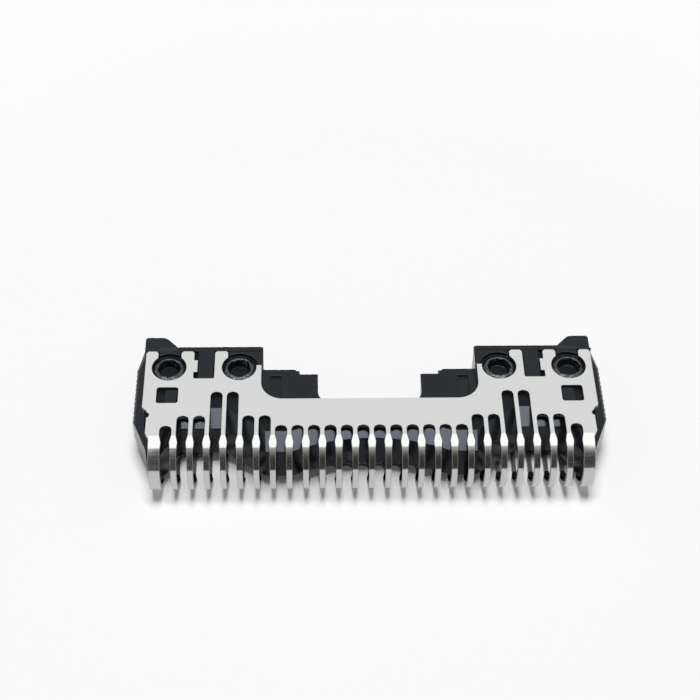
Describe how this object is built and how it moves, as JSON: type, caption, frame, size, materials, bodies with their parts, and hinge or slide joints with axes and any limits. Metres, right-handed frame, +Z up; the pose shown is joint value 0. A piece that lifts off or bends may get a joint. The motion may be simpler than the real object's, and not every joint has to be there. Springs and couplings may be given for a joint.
{
  "type": "shaver inner blade",
  "caption": "Folded steel comb blade staked to a black moulded carrier, the inner cutter that is driven to and fro under a shaver foil.",
  "frame": {"origin": "centre of the bounding box on the surface that the lower leg rests on", "axes": "+X along the comb, +Y from the cutting arch towards the carrier's feet, +Z up through the two legs"},
  "size_m": [0.0406, 0.0152, 0.0056],
  "materials": {
    "steel": "satin legs, polished ground arch",
    "plastic": "black, semi-matt moulded"
  },
  "bodies": {
    "root": {"cutter_blade": "steel", "blade_carrier": "plastic"}
  },
  "joints": []
}
